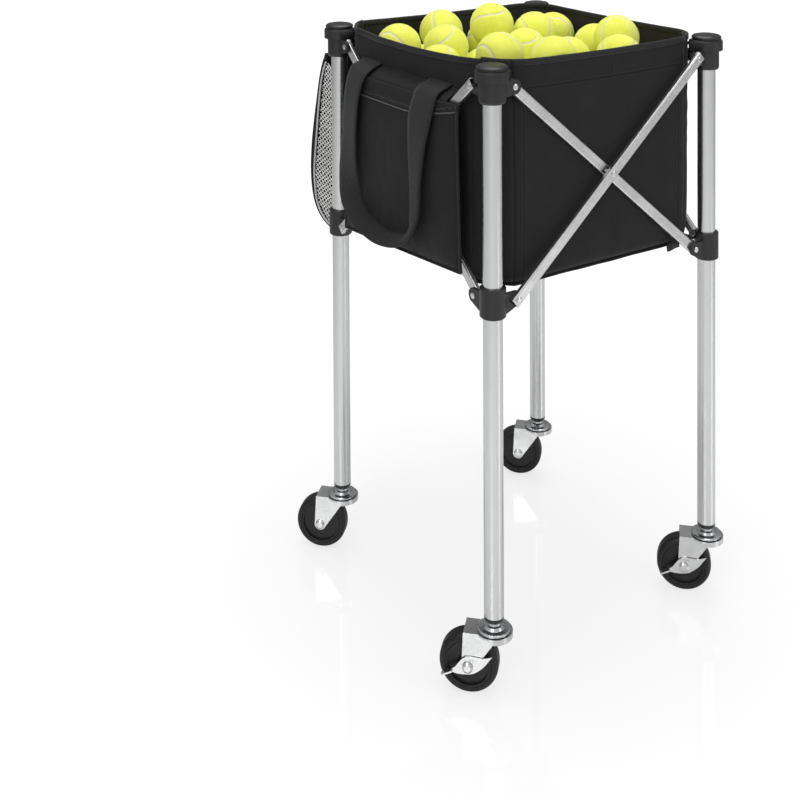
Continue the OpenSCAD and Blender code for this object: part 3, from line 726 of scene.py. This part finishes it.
def zip_pocket():
    """Flat padded pocket with a zip near its top, hung outside the left bars."""
    k = 3
    parts = Parts()
    flap(parts, k, 116 * MM)
    low, top = BAG_Z + 15 * MM, BAND_Z - 12 * MM

    def edge(t):
        """Left and right ends of the pocket at height share t."""
        return -112 * MM - 24 * MM * (1 - t), 149 * MM - 7 * MM * t ** 0.8

    def front(s, t):
        left, right = edge(t)
        x = left + (right - left) * s
        foot = low + 10 * MM * (x / (149 * MM)) - 3 * MM
        z = foot + (top - foot) * t
        edge_s = min(s, 1 - s) * (right - left)
        edge_t = t * (top - low)
        round_s = 1 - math.exp(-edge_s / (7 * MM))
        round_t = 1 - math.exp(-edge_t / (9 * MM))
        puff = (8.5 + 4.5 * math.sin(math.pi * min(1, s * 1.05)) * math.sin(math.pi * (0.15 + 0.8 * t))) * MM
        crease = ruffle((x, 0, z * 0.5), 22, 2.0 * MM, 11) + ruffle((x, 0, z), 48, 0.9 * MM, 13)
        dz = z - zip_line(x)
        crease *= 1 - math.exp(-(dz / (16 * MM)) ** 2)
        out = OUTSIDE + (puff + crease) * round_s * round_t * (1 - 0.55 * t ** 6)
        if abs(dz) < 9 * MM:
            out -= 2.6 * MM * math.exp(-(dz / (3.2 * MM)) ** 2)
        return x, out, z

    def zip_line(x):
        """Height of the zip: level at the back, rising to the front corner."""
        return BAND_Z - 33 * MM + max(0.0, (x - 30 * MM) / (120 * MM)) ** 1.5 * 20 * MM

    s_values = np.linspace(0, 1, 74)
    t_values = np.linspace(0, 1, 70)
    outer = [[front(s, t) for t in t_values] for s in s_values]
    grid = [[tuple(on_side(k, *p)) for p in row] for row in outer]
    uv = [[(p[0], p[2]) for p in row] for row in outer]
    parts.shell(grid, uv, 1.6 * MM, 0)
    back = [[tuple(on_side(k, p[0], OUTSIDE + 0.2 * MM, p[2])) for p in row] for row in outer]
    parts.shell(back, uv, 0.8 * MM, 0)

    def rail(x_values, lift, dz=0.0):
        path, out = [], []
        for x in x_values:
            z = zip_line(x) + dz
            foot = low + 10 * MM * (x / (149 * MM)) - 3 * MM
            t = (z - foot) / (top - foot)
            left, right = edge(t)
            _, o, _ = front((x - left) / (right - left), t)
            path.append(on_side(k, x, o + lift, z))
            out.append(turned(k) @ Vector((0, -1, 0)))
        return path, out

    xs = list(np.linspace(-104 * MM, 140 * MM, 90))
    for dz in (-2.4 * MM, 2.4 * MM):
        path, out = rail(xs, 0.7 * MM, dz)
        parts.sweep(path, out, [(a * MM, b * MM) for a, b in
                                ((0.4, -1.5), (0.7, 0), (0.4, 1.5), (-0.6, 1.5), (-0.6, -1.5))], 4)
    # a thin cord along the lower edge of the zip's opening; its grey, lighter than the black cloth, is a painted
    # highlight line
    path, out = rail(xs, 0.9 * MM, -5.2 * MM)
    parts.sweep(path, out, [(1.0 * MM * math.cos(a), 1.0 * MM * math.sin(a)) for a in
                            np.linspace(0, math.tau, 9)[:-1]], 5)
    path, out = rail(xs, 0.6 * MM, 5.6 * MM)
    parts.stitches(path, out, kind=3)
    path, out = rail(xs, 1.5 * MM)
    teeth = list(np.linspace(-104 * MM, 140 * MM, 162))
    for n, x in enumerate(teeth):
        (p,), (o,) = rail([x], 1.3 * MM)
        side_way = turned(k) @ Vector((1, 0, 0))
        up = Vector((0, 0, 1))
        shift = up * (0.5 * MM if n % 2 else -0.5 * MM)
        points = []
        for a in (-0.55, 0.55):
            for b in (-0.9, 0.9):
                for c in (-0.6, 0.7):
                    points.append(p + shift + side_way * a * MM + up * b * MM + o * c * MM)
        parts.add(points, [(0, 0)] * 8, [(0, 1, 3, 2), (4, 6, 7, 5), (0, 4, 5, 1), (2, 3, 7, 6), (0, 2, 6, 4),
                                         (1, 5, 7, 3)], 2)
    # slider and pull tab at the rear end of the zip
    (p,), (o,) = rail([-92 * MM], 2.6 * MM)
    side_way, up = turned(k) @ Vector((1, 0, 0)), Vector((0, 0, 1))
    slider = [(x, y) for x, y in ((-5, -2.2), (-3, -3.6), (4, -3.2), (5.5, -1.8), (5.5, 1.8), (4, 3.2), (-3, 3.6),
                                  (-5, 2.2))]
    for base, height, shape in ((-1.0, 2.4, slider), (1.5, 1.0, [(-1.5, -20), (1.5, -20), (2.4, -18), (2.4, -3),
                                                                 (1.4, 0), (-1.4, 0), (-2.4, -3), (-2.4, -18)])):
        points = [p + side_way * a * MM + up * b * MM + o * (base + c * height) * MM for c in (0, 1) for a, b in shape]
        n = len(shape)
        faces = [tuple(range(n)), tuple(reversed(range(n, 2 * n)))]
        faces += [(i, i + n, (i + 1) % n + n, (i + 1) % n) for i in range(n)]
        parts.add(points, [(0, 0)] * (2 * n), faces, 2)
    # piping round the pocket's front edge
    border = [(s, 1.0) for s in np.linspace(1, 1, 1)] + [(1.0, t) for t in np.linspace(1, 0, 46)]
    border += [(s, 0.0) for s in np.linspace(1, 0, 50)[1:]] + [(0.0, t) for t in np.linspace(0, 1, 46)[1:]]
    path, out = [], []
    for s, t in border:
        x, o_, z = front(s, t)
        path.append(on_side(k, x, OUTSIDE + 2.2 * MM, z))
        way = Vector(((1 if s > 0.5 else -1) if s in (0.0, 1.0) else 0, -1.2, -1 if t == 0 else 0))
        out.append(turned(k) @ way.normalized())
    ring = [(1.7 * MM * math.cos(a), 1.7 * MM * math.sin(a)) for a in np.linspace(0, math.tau, 11)[:-1]]
    parts.sweep(path, out, ring, 4)
    obj = parts.build("zip_pocket_soft", [POCKET, TAPE, ZIPPER, THREAD, BINDING, ZIP_HIGHLIGHT_CORD])
    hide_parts("zip_pocket")
    return hang(obj, k)


zip_pocket()


def mesh_pocket():
    """Deep pocket outside the back bars: cloth face and base, see-through net ends, grey piping."""
    k = 2
    parts = Parts()
    flap(parts, k, 116 * MM)
    half = 170 * MM
    low = BAG_Z - 45 * MM
    # section through the pocket, from the top of its back, down, under and up its bulging face
    section = [(0, 236), (0, 150), (0, 60), (0.5, 30), (4, 16), (14, 9), (30, 8), (52, 10), (74, 18), (92, 34),
               (102, 58), (105, 88), (102, 125), (94, 165), (84, 205), (75, 238), (65, 262), (56, 276)]
    smooth = []
    for i in range(len(section) - 1):
        before, a = Vector(section[max(i - 1, 0)]), Vector(section[i])
        b, after = Vector(section[i + 1]), Vector(section[min(i + 2, len(section) - 1)])
        for t in np.linspace(0, 1, 6)[:-1]:
            smooth.append(0.5 * ((2 * a) + (b - before) * t + (2 * before - 5 * a + 4 * b - after) * t * t
                                 + (3 * a - before - 3 * b + after) * t ** 3))
    smooth.append(Vector(section[-1]))
    grid, uv = [], []
    for x in np.linspace(-half, half, 70):
        row, row_uv, run = [], [], 0.0
        for n, p in enumerate(smooth):
            if n:
                run += (p - smooth[n - 1]).length * MM
            edge = 1 - math.exp(-(half - abs(x)) / (12 * MM))
            soft = (ruffle((x, p.x * MM, p.y * MM * 0.6), 20, 3.4 * MM, 21)
                    + ruffle((x, p.x * MM, p.y * MM), 52, 1.1 * MM, 23)) * edge * min(1, p.x / 20)
            droop = 9 * MM * (1 - (x / half) ** 2) * max(0, (p.y - 200) / 76) * (p.x > 5)
            row.append(tuple(on_side(k, x, OUTSIDE + p.x * MM + soft, low + p.y * MM - droop)))
            row_uv.append((x, run))
        grid.append(row)
        uv.append(row_uv)
    parts.shell(grid, uv, 1.4 * MM, 0, 1)
    # hem of the mouth
    mouth = [Vector(row[-1]) for row in grid]
    way = [turned(k) @ Vector((0, -1, 0.3))] * len(mouth)
    parts.sweep(mouth, way, [(a * MM, b * MM) for a, b in ((1.2, -8), (1.6, -3), (1.2, 0.6), (0, 1.6), (-1.6, 1.0),
                                                          (-2.4, -1), (-2.4, -8), (-1.6, -8.2), (0.4, -8.2))], 2)
    ring = [(1.5 * MM * math.cos(a), 1.5 * MM * math.sin(a)) for a in np.linspace(0, math.tau, 11)[:-1]]
    # the net ends stop at a piped seam; a strip of cloth turns in from the face to meet it
    border = 13
    centre_2d = Vector((40, 120))
    outer_edge = smooth[16:]
    inner_edge = [p + (centre_2d - p).normalized() * border * min(1, 0.3 + max(0, p.y - 8) / 60) for p in outer_edge]
    for sign in (-1, 1):
        x = sign * (half - 0.6 * MM)
        strip = [[tuple(on_side(k, x - sign * 2 * MM * t, OUTSIDE + p.lerp(q, t).x * MM, low + p.lerp(q, t).y * MM))
                  for p, q in zip(outer_edge, inner_edge)] for t in np.linspace(0, 1, 5)]
        strip_uv = [[(i * 6 * MM, t * border * MM) for i in range(len(outer_edge))] for t in np.linspace(0, 1, 5)]
        parts.shell(strip, strip_uv, 1.2 * MM * sign, 0)
        path = [on_side(k, sign * (half - 0.2 * MM), OUTSIDE + p.x * MM, low + p.y * MM) for p in inner_edge]
        parts.sweep(path, [turned(k) @ Vector((sign, 0, 0))] * len(path), ring, 4)
    obj = parts.build("mesh_pocket_cloth", [POCKET, LINING, BINDING, THREAD, PIPING])
    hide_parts("mesh_pocket")
    hang(obj, k)

    # net ends: crossed flat threads, cut to the piped outline
    polygon = smooth[:16] + inner_edge

    def inside(a, b):
        hit = False
        for p, q in zip(polygon, polygon[1:] + polygon[:1]):
            if (p.y > b) != (q.y > b) and a < (q.x - p.x) * (b - p.y) / (q.y - p.y) + p.x:
                hit = not hit
        return hit

    thread = [(0.3 * MM, -0.8 * MM), (0.5 * MM, 0), (0.3 * MM, 0.8 * MM), (-0.3 * MM, 0.8 * MM), (-0.3 * MM, -0.8 * MM)]
    cell_h, slope, step = 6.8, 0.7, 2.4
    for sign, end in ((-1, "left"), (1, "right")):
        net = Parts()
        for direction in (1, -1):
            for line in range(-14, 60):
                run = []
                for n in range(46):
                    a = n * step
                    b = line * cell_h + direction * slope * a
                    if n < 45 and inside(a, b):
                        bow = 4 * math.sin(math.pi * min(a / 95, 1)) * math.sin(math.pi * min(max(b, 0) / 276, 1))
                        weave = 0.4 * direction * math.cos(math.pi * (a / (cell_h / slope) + line))
                        x = sign * (half - (2.2 + bow - weave) * MM)
                        run.append(on_side(k, x, OUTSIDE + a * MM, low + b * MM))
                        continue
                    if len(run) > 1:
                        net.sweep(run, [turned(k) @ Vector((sign, 0, 0))] * len(run), thread)
                    run = []
        piece = net.build(f"mesh_pocket_net_{end}", [NET])
        hang(piece, k)


mesh_pocket()

# ---------------------------------------------------------------- straps


def spline(points, count):
    """Catmull-Rom curve through points, sampled evenly enough for a strap."""
    pts = [np.array(p, float) for p in points]
    result = []
    for i in range(len(pts) - 1):
        a, b = pts[i], pts[i + 1]
        before = pts[i - 1] if i else a * 2 - b
        after = pts[i + 2] if i + 2 < len(pts) else b * 2 - a
        for t in np.linspace(0, 1, count, endpoint=False):
            result.append(0.5 * ((2 * a) + (b - before) * t + (2 * before - 5 * a + 4 * b - after) * t * t
                                 + (3 * a - before - 3 * b + after) * t ** 3))
    result.append(pts[-1])
    return result


def strap(parts, keys, width, thick, kind=0, count=9):
    """Flat webbing along keys: each is (x, out, z, facing out, facing x, facing z) on side 0's axes."""
    rows = spline(keys, count)
    grid, uv, run = [], [], 0.0
    for i, row in enumerate(rows):
        p, face = Vector(row[:3]), Vector(row[3:6])
        before, after = Vector(rows[max(i - 1, 0)][:3]), Vector(rows[min(i + 1, len(rows) - 1)][:3])
        along = (after - before).normalized()
        face = (face - along * face.dot(along)).normalized()
        across = along.cross(face)
        if i:
            run += (p - Vector(rows[i - 1][:3])).length
        line, line_uv = [], []
        for w in np.linspace(-0.5, 0.5, 9):
            edge = 1 - (2 * abs(w)) ** 8
            share = row[6] if len(row) > 6 else 1.0
            line.append(p + across * (w * width * share) + face * ((0.25 + 3.0 * (1 - share)) * MM * edge))
            line_uv.append((w * width, run))
        grid.append(line)
        uv.append(line_uv)
    return grid, uv


def loop_handle(name, node, k, out):
    """Webbing loop sewn under the band at both ends, folded narrower towards its foot for the hand."""
    parts = Parts()
    top = BAND_Z / MM + 4
    o = out / MM
    w = 50 * MM
    # x, out, z in mm, then the way the webbing faces: along x, out and up; last its share of the full width
    keys = [
        (-95, -2.4, top, 0, 1, 0.25, 1), (-95, 5, top - 3, 0, 0.6, 1, 1), (-94, max(o - 14, 7), top - 9, 0, 0.7, 0.8, 1),
        (-95, max(o - 7, 9), top - 20, -0.1, 1, 0.25, 1), (-96, o - 1, top - 42, -0.14, 0.98, 0, 1),
        (-97, o + 2, top - 72, -0.16, 0.98, 0, 1), (-97, o + 4, top - 107, -0.14, 0.98, 0, 1), (-95, o + 6.5, top - 137, -0.06, 1, 0, 1),
        (-90, o + 8, top - 164, 0.14, 0.98, 0.1, 0.86), (-80, o + 9.5, top - 187, 0.42, 0.8, 0.4, 0.66),
        (-62, o + 10, top - 205, 0.35, 0.5, 0.8, 0.56), (-35, o + 10, top - 216, 0.1, 0.4, 0.9, 0.54),
        (-5, o + 10, top - 220, 0, 0.38, 0.92, 0.54), (25, o + 10, top - 217, -0.1, 0.4, 0.9, 0.54),
        (50, o + 10, top - 209, -0.3, 0.5, 0.8, 0.54), (68, o + 10, top - 193, -0.4, 0.75, 0.5, 0.54),
        (76, o + 9, top - 170, -0.2, 0.95, 0.1, 0.54), (77, o + 8, top - 147, -0.14, 0.98, 0, 0.56),
        (75, o + 6, top - 119, -0.12, 0.98, 0, 0.66), (74, o + 4, top - 90, -0.08, 0.99, 0, 0.8),
        (74, o + 2, top - 65, -0.04, 1, 0, 0.92), (76, o - 1, top - 41, 0, 1, 0, 1), (77, max(o - 7, 9), top - 20, 0, 1, 0.25, 1),
        (76, max(o - 14, 7), top - 9, 0, 0.7, 0.8, 1), (76, 5, top - 3, 0, 0.6, 1, 1), (76, -2.4, top, 0, 1, 0.25, 1)]
    local = [(x * MM, -LEG - d * MM, z * MM, fx, -fo, fz, share) for x, d, z, fx, fo, fz, share in keys]
    grid, uv = strap(parts, local, w, 1.8 * MM)
    grid = [[tuple(turned(k) @ p) for p in row] for row in grid]
    parts.shell(grid, uv, 1.8 * MM, 0)
    # box stitching near both ends, laid on the webbing
    for rows in (grid[30:38], grid[-38:-30]):
        points = [[Vector(p) for p in row] for row in rows]
        for column in (1, 7):
            line = [row[column] for row in points]
            across = [(row[7] - row[1]).cross(points[-1][4] - points[0][4]) for row in points]
            parts.stitches(line, [n if n.dot(turned(k) @ Vector((0, -1, 0))) > 0 else -n for n in across], kind=1)
        for row in (points[0], points[-1]):
            n = (row[7] - row[1]).cross(points[-1][4] - points[0][4])
            n = n if n.dot(turned(k) @ Vector((0, -1, 0))) > 0 else -n
            parts.stitches(row[1:8], [n] * 7, kind=1)
    # the folded part is closed by a row of stitches along its edge
    points = [[Vector(p) for p in row] for row in grid[92:152]]
    across = []
    for i, row in enumerate(points):
        n = (row[7] - row[1]).cross(points[min(i + 1, 59)][4] - points[max(i - 1, 0)][4])
        across.append(n if n.dot(turned(k) @ Vector((0, -0.5, 1))) > 0 else -n)
    parts.stitches([row[1] for row in points], across, kind=1)
    obj = parts.build(name, [TAPE, THREAD])
    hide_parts(node)
    return hang(obj, k)


loop_handle("left_handle_webbing", "left_handle", 3, OUTSIDE + 14 * MM)
loop_handle("right_handle_webbing", "right_handle", 1, OUTSIDE - 3 * MM)


def corner_tie(k, c):
    """Narrow strap from the bag's corner round the hub's collar."""
    parts = Parts()
    centre = Vector((-LEG, -LEG))
    z = CAP_Z - 15 * MM
    path, out = [], []
    reach = BAG_HALF - (corner_radius(k, 0.93) * (1 - math.sqrt(0.5)))
    start = Vector((-reach, -reach))
    ring_r = 23.1 * MM
    for a in np.linspace(-75, 75, 31):
        angle = math.radians(45 + a)
        way = Vector((math.cos(angle), math.sin(angle), 0))
        p = centre.to_3d() + way * (ring_r + 0.6 * MM)
        p.z = z
        path.append(turned(k) @ p)
        out.append(turned(k) @ way)
    profile = [(a * MM, b * MM) for a, b in ((0.6, -6), (0.8, 0), (0.6, 6), (-0.5, 6), (-0.5, -6))]
    parts.sweep(path, out, profile, 0)
    tab = []
    for t in np.linspace(0, 1, 8):
        p = (start * (1 - t) + (centre + Vector((1, 1)).normalized() * (ring_r + 1.0 * MM)) * t).to_3d()
        p.z = z + 3 * MM * (1 - t)
        tab.append(turned(k) @ p)
    across = turned(k) @ Vector((1, -1, 0)).normalized()
    parts.sweep(tab, [across] * len(tab), [(a * MM, b * MM) for a, b in
                                           ((0.7, -6), (0.7, 6), (-0.7, 6), (-0.7, -6))], 0)
    obj = parts.build(f"bag_{c}_tie", [TAPE])
    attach(obj, CORNER_BODY[c])


for k, c in enumerate(CORNERS):
    corner_tie(k, c)


def hem_tab():
    """Small webbing tab at the foot of the front side, beside the right sleeve."""
    parts = Parts()
    path = [on_side(0, x * MM, (-2.4 + 0.6 * math.sin(n)) * MM, (499.5 + 0.4 * n) * MM)
            for n, x in enumerate(np.linspace(113, 135, 8))]
    parts.sweep(path, [Vector((0, -1, 0))] * 8, [(a * MM, b * MM) for a, b in
                                                 ((2.4, -4), (2.8, 0), (2.4, 5), (0.4, 6), (0.2, -4.4))], 0)
    obj = parts.build("bag_hem_tab", [TAPE])
    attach(obj, "front_left_leg")
    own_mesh(obj)


hem_tab()

# ---------------------------------------------------------------- balls


def ball_mesh(name, level):
    """A felt ball: a slightly furry sphere with its curved seam sunk in."""
    bpy.ops.mesh.primitive_ico_sphere_add(subdivisions=level, radius=1.0)
    source = bpy.context.object
    mesh = source.data
    mesh.name = name
    t = np.linspace(0, math.tau, 720, endpoint=False)
    seam = np.stack([0.75 * np.cos(t) + 0.25 * np.cos(3 * t), 0.75 * np.sin(t) - 0.25 * np.sin(3 * t),
                     2 * math.sqrt(0.1875) * np.sin(2 * t)], 1)
    co = np.zeros(len(mesh.vertices) * 3)
    mesh.vertices.foreach_get("co", co)
    co = co.reshape(-1, 3)
    co /= np.linalg.norm(co, axis=1, keepdims=True)
    away = np.arccos(np.clip((co @ seam.T).max(1), -1, 1)) * BALL_R / MM
    attribute = mesh.attributes.new("seam", "FLOAT", "POINT")
    attribute.data.foreach_set("value", np.clip(away, 0, 6).astype(np.float32))
    fur = np.array([noise.noise(Vector(p) * 14) * 0.25 + noise.noise(Vector(p) * 40) * 0.18 for p in co]) * MM
    radius = BALL_R - 0.2 * MM + np.where(away > 1.8, fur, 0) - 0.8 * MM * np.exp(-(away / 1.7) ** 2)
    mesh.vertices.foreach_set("co", (co * radius[:, None]).astype(np.float32).ravel())
    mesh.materials.append(FELT)
    mesh.polygons.foreach_set("use_smooth", [True] * len(mesh.polygons))
    bpy.data.objects.remove(source)
    return mesh


def ball_centres():
    """Centre of each separate sphere in the CAD node."""
    mesh = frame["nodes"]["tennis_balls"].data
    co = np.zeros(len(mesh.vertices) * 3)
    mesh.vertices.foreach_get("co", co)
    co = co.reshape(-1, 3)
    edges = np.zeros(len(mesh.edges) * 2, int)
    mesh.edges.foreach_get("vertices", edges)
    edges = edges.reshape(-1, 2)
    group = np.arange(len(co))
    while True:
        low = np.minimum(group[edges[:, 0]], group[edges[:, 1]])
        np.minimum.at(group, edges[:, 0], low)
        np.minimum.at(group, edges[:, 1], low)
        group = group[group]
        if (group[edges[:, 0]] == group[edges[:, 1]]).all():
            break
    found = []
    for g in np.unique(group):
        points = co[group == g]
        if len(points) > 20:
            found.append((points.min(0) + points.max(0)) / 2)
    return sorted(found, key=lambda c: -c[2])


centres = ball_centres()
BALL_R = 33 * MM
fine_ball, plain_ball = ball_mesh("ball_fine", 5), ball_mesh("ball_plain", 4)
dice = random.Random(7)
for n, centre in enumerate(centres):
    seen = centre[2] > RIM_Z - 62 * MM
    ball = bpy.data.objects.new(f"tennis_ball_{n + 1:02d}", fine_ball if seen else plain_ball)
    bpy.context.collection.objects.link(ball)
    ball.rotation_euler = Euler([dice.uniform(0, math.tau) for _ in range(3)])
    ball.location = Vector(centre)
    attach(ball, "ball_load")
    if n == 0:
        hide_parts("tennis_balls")

# ---------------------------------------------------------------- studio


def studio():
    scene = bpy.context.scene
    world = bpy.data.worlds.new("studio")
    world.use_nodes = True
    scene.world = world
    tree = world.node_tree
    tree.nodes.clear()
    out = tree.nodes.new("ShaderNodeOutputWorld")
    seen, lighting = tree.nodes.new("ShaderNodeBackground"), tree.nodes.new("ShaderNodeBackground")
    seen.inputs["Color"].default_value = (1, 1, 1, 1)
    seen.inputs["Strength"].default_value = 1.0
    # reflections and fill come from a room that is bright overhead and in a strip behind the camera
    texture = tree.nodes.new("ShaderNodeTexCoord")

    def along(way):
        node = tree.nodes.new("ShaderNodeVectorMath")
        node.operation = "DOT_PRODUCT"
        node.inputs[1].default_value = way
        tree.links.new(texture.outputs["Generated"], node.inputs[0])
        return node.outputs["Value"]

    room = spread(tree, along((-0.30, -0.40, 0.866)), 0.22, 0.95, -0.3, 0.95)
    strip = spread(tree, along((-0.545, -0.838, 0.0)), 0.0, 0.24, 0.76, 0.95)
    left = spread(tree, along((-0.838, 0.545, 0.0)), 0.0, -0.10, 0.2, 0.9)
    level = maths(tree, "ADD", maths(tree, "ADD", room, strip), left)
    tree.links.new(level, lighting.inputs["Strength"])
    path = tree.nodes.new("ShaderNodeLightPath")
    mix = tree.nodes.new("ShaderNodeMixShader")
    tree.links.new(path.outputs["Is Camera Ray"], mix.inputs[0])
    tree.links.new(lighting.outputs[0], mix.inputs[1])
    tree.links.new(seen.outputs[0], mix.inputs[2])
    tree.links.new(mix.outputs[0], out.inputs["Surface"])
    scene.view_settings.view_transform = "Standard"
    scene.view_settings.look = "None"

    def soft_light(name, place_at, target, size, power, color=(1, 1, 1)):
        data = bpy.data.lights.new(name, "AREA")
        data.shape = "RECTANGLE"
        data.size, data.size_y = size
        data.energy = power
        data.color = color
        lamp = bpy.data.objects.new(name, data)
        bpy.context.collection.objects.link(lamp)
        lamp.location = place_at
        lamp.rotation_euler = (Vector(target) - Vector(place_at)).to_track_quat("-Z", "Y").to_euler()
        return lamp

    soft_light("key", (-2.6, -1.6, 2.6), (0, 0, 0.5), (1.3, 2.2), 24)
    soft_light("fill", (1.6, -2.8, 1.5), (0, 0, 0.45), (0.9, 2.0), 12)
    soft_light("top", (0.2, 0.3, 3.0), (0, 0, 0.6), (1.8, 1.8), 36)

    floor_material, floor_tree, floor_shader = new_material(
        "studio_floor", (0.96, 0.96, 0.96), 0.2, 0.0, Specular_IOR_Level=0.5, Coat_Weight=1.0, Coat_Roughness=0.05,
        Coat_IOR=1.9)
    grain = noise_of(floor_tree, coords(floor_tree), 40.0, 4.0)
    floor_tree.links.new(spread(floor_tree, grain, 0.14, 0.22), floor_shader.inputs["Roughness"])
    # seen by the camera the sweep is lit evenly white, with part of its shadow and shine kept
    glow = floor_tree.nodes.new("ShaderNodeEmission")
    blend = floor_tree.nodes.new("ShaderNodeMixShader")
    view_path = floor_tree.nodes.new("ShaderNodeLightPath")
    away = floor_tree.nodes.new("ShaderNodeVectorMath")
    away.operation = "LENGTH"
    floor_tree.links.new(coords(floor_tree), away.inputs[0])
    share = spread(floor_tree, away.outputs["Value"], 0.66, 1.0, 0.3, 1.2)
    floor_tree.links.new(maths(floor_tree, "MULTIPLY", share, view_path.outputs["Is Camera Ray"]), blend.inputs[0])
    floor_tree.links.new(floor_shader.outputs[0], blend.inputs[1])
    glow.inputs["Strength"].default_value = 1.1
    floor_tree.links.new(glow.outputs[0], blend.inputs[2])
    floor_tree.links.new(blend.outputs[0], floor_tree.nodes["Material Output"].inputs["Surface"])
    points, faces, uvs = [], [], []
    count, reach = 40, 9.0
    for i in range(count + 1):
        for j in range(count + 1):
            points.append((-reach + 2 * reach * i / count, -reach + 2 * reach * j / count, 0.0))
            uvs.append((i, j))
    for i in range(count):
        for j in range(count):
            a = i * (count + 1) + j
            faces.append((a, a + count + 1, a + count + 2, a + 1))
    ground = make("studio_floor", points, faces, [floor_material], uvs)


studio()


def photo_camera():
    """A level view from the front left, framed low by shifting the lens so that uprights stay upright."""
    data = bpy.data.cameras.new("photo_camera")
    camera = bpy.data.objects.new("photo_camera", data)
    bpy.context.collection.objects.link(camera)
    bpy.context.scene.camera = camera
    yaw, pitch, roll = -0.5768, 0.0238, -0.0054
    spot = Vector((-1.1209, -1.4241, 1.0975))
    forward = Vector((-math.sin(yaw) * math.cos(pitch), math.cos(yaw) * math.cos(pitch), -math.sin(pitch)))
    camera.location = spot
    camera.rotation_mode = "QUATERNION"
    camera.rotation_quaternion = forward.to_track_quat("-Z", "Y") @ Euler((0, 0, roll)).to_quaternion()
    data.sensor_width = 36.0
    data.lens = 56.38
    # the shift holds only from this spot, so that a view from anywhere else is centred
    for channel, value in (("shift_x", -0.0046), ("shift_y", -0.6934)):
        curve = data.driver_add(channel)
        driver = curve.driver
        driver.type = "SCRIPTED"
        where = driver.variables.new()
        where.name = "x"
        where.type = "TRANSFORMS"
        where.targets[0].id = camera
        where.targets[0].transform_type = "LOC_X"
        where.targets[0].transform_space = "WORLD_SPACE"
        driver.expression = f"{value} if abs(x + 1.1209) < 0.001 else 0.0"
    data.clip_start, data.clip_end = 0.05, 50


photo_camera()
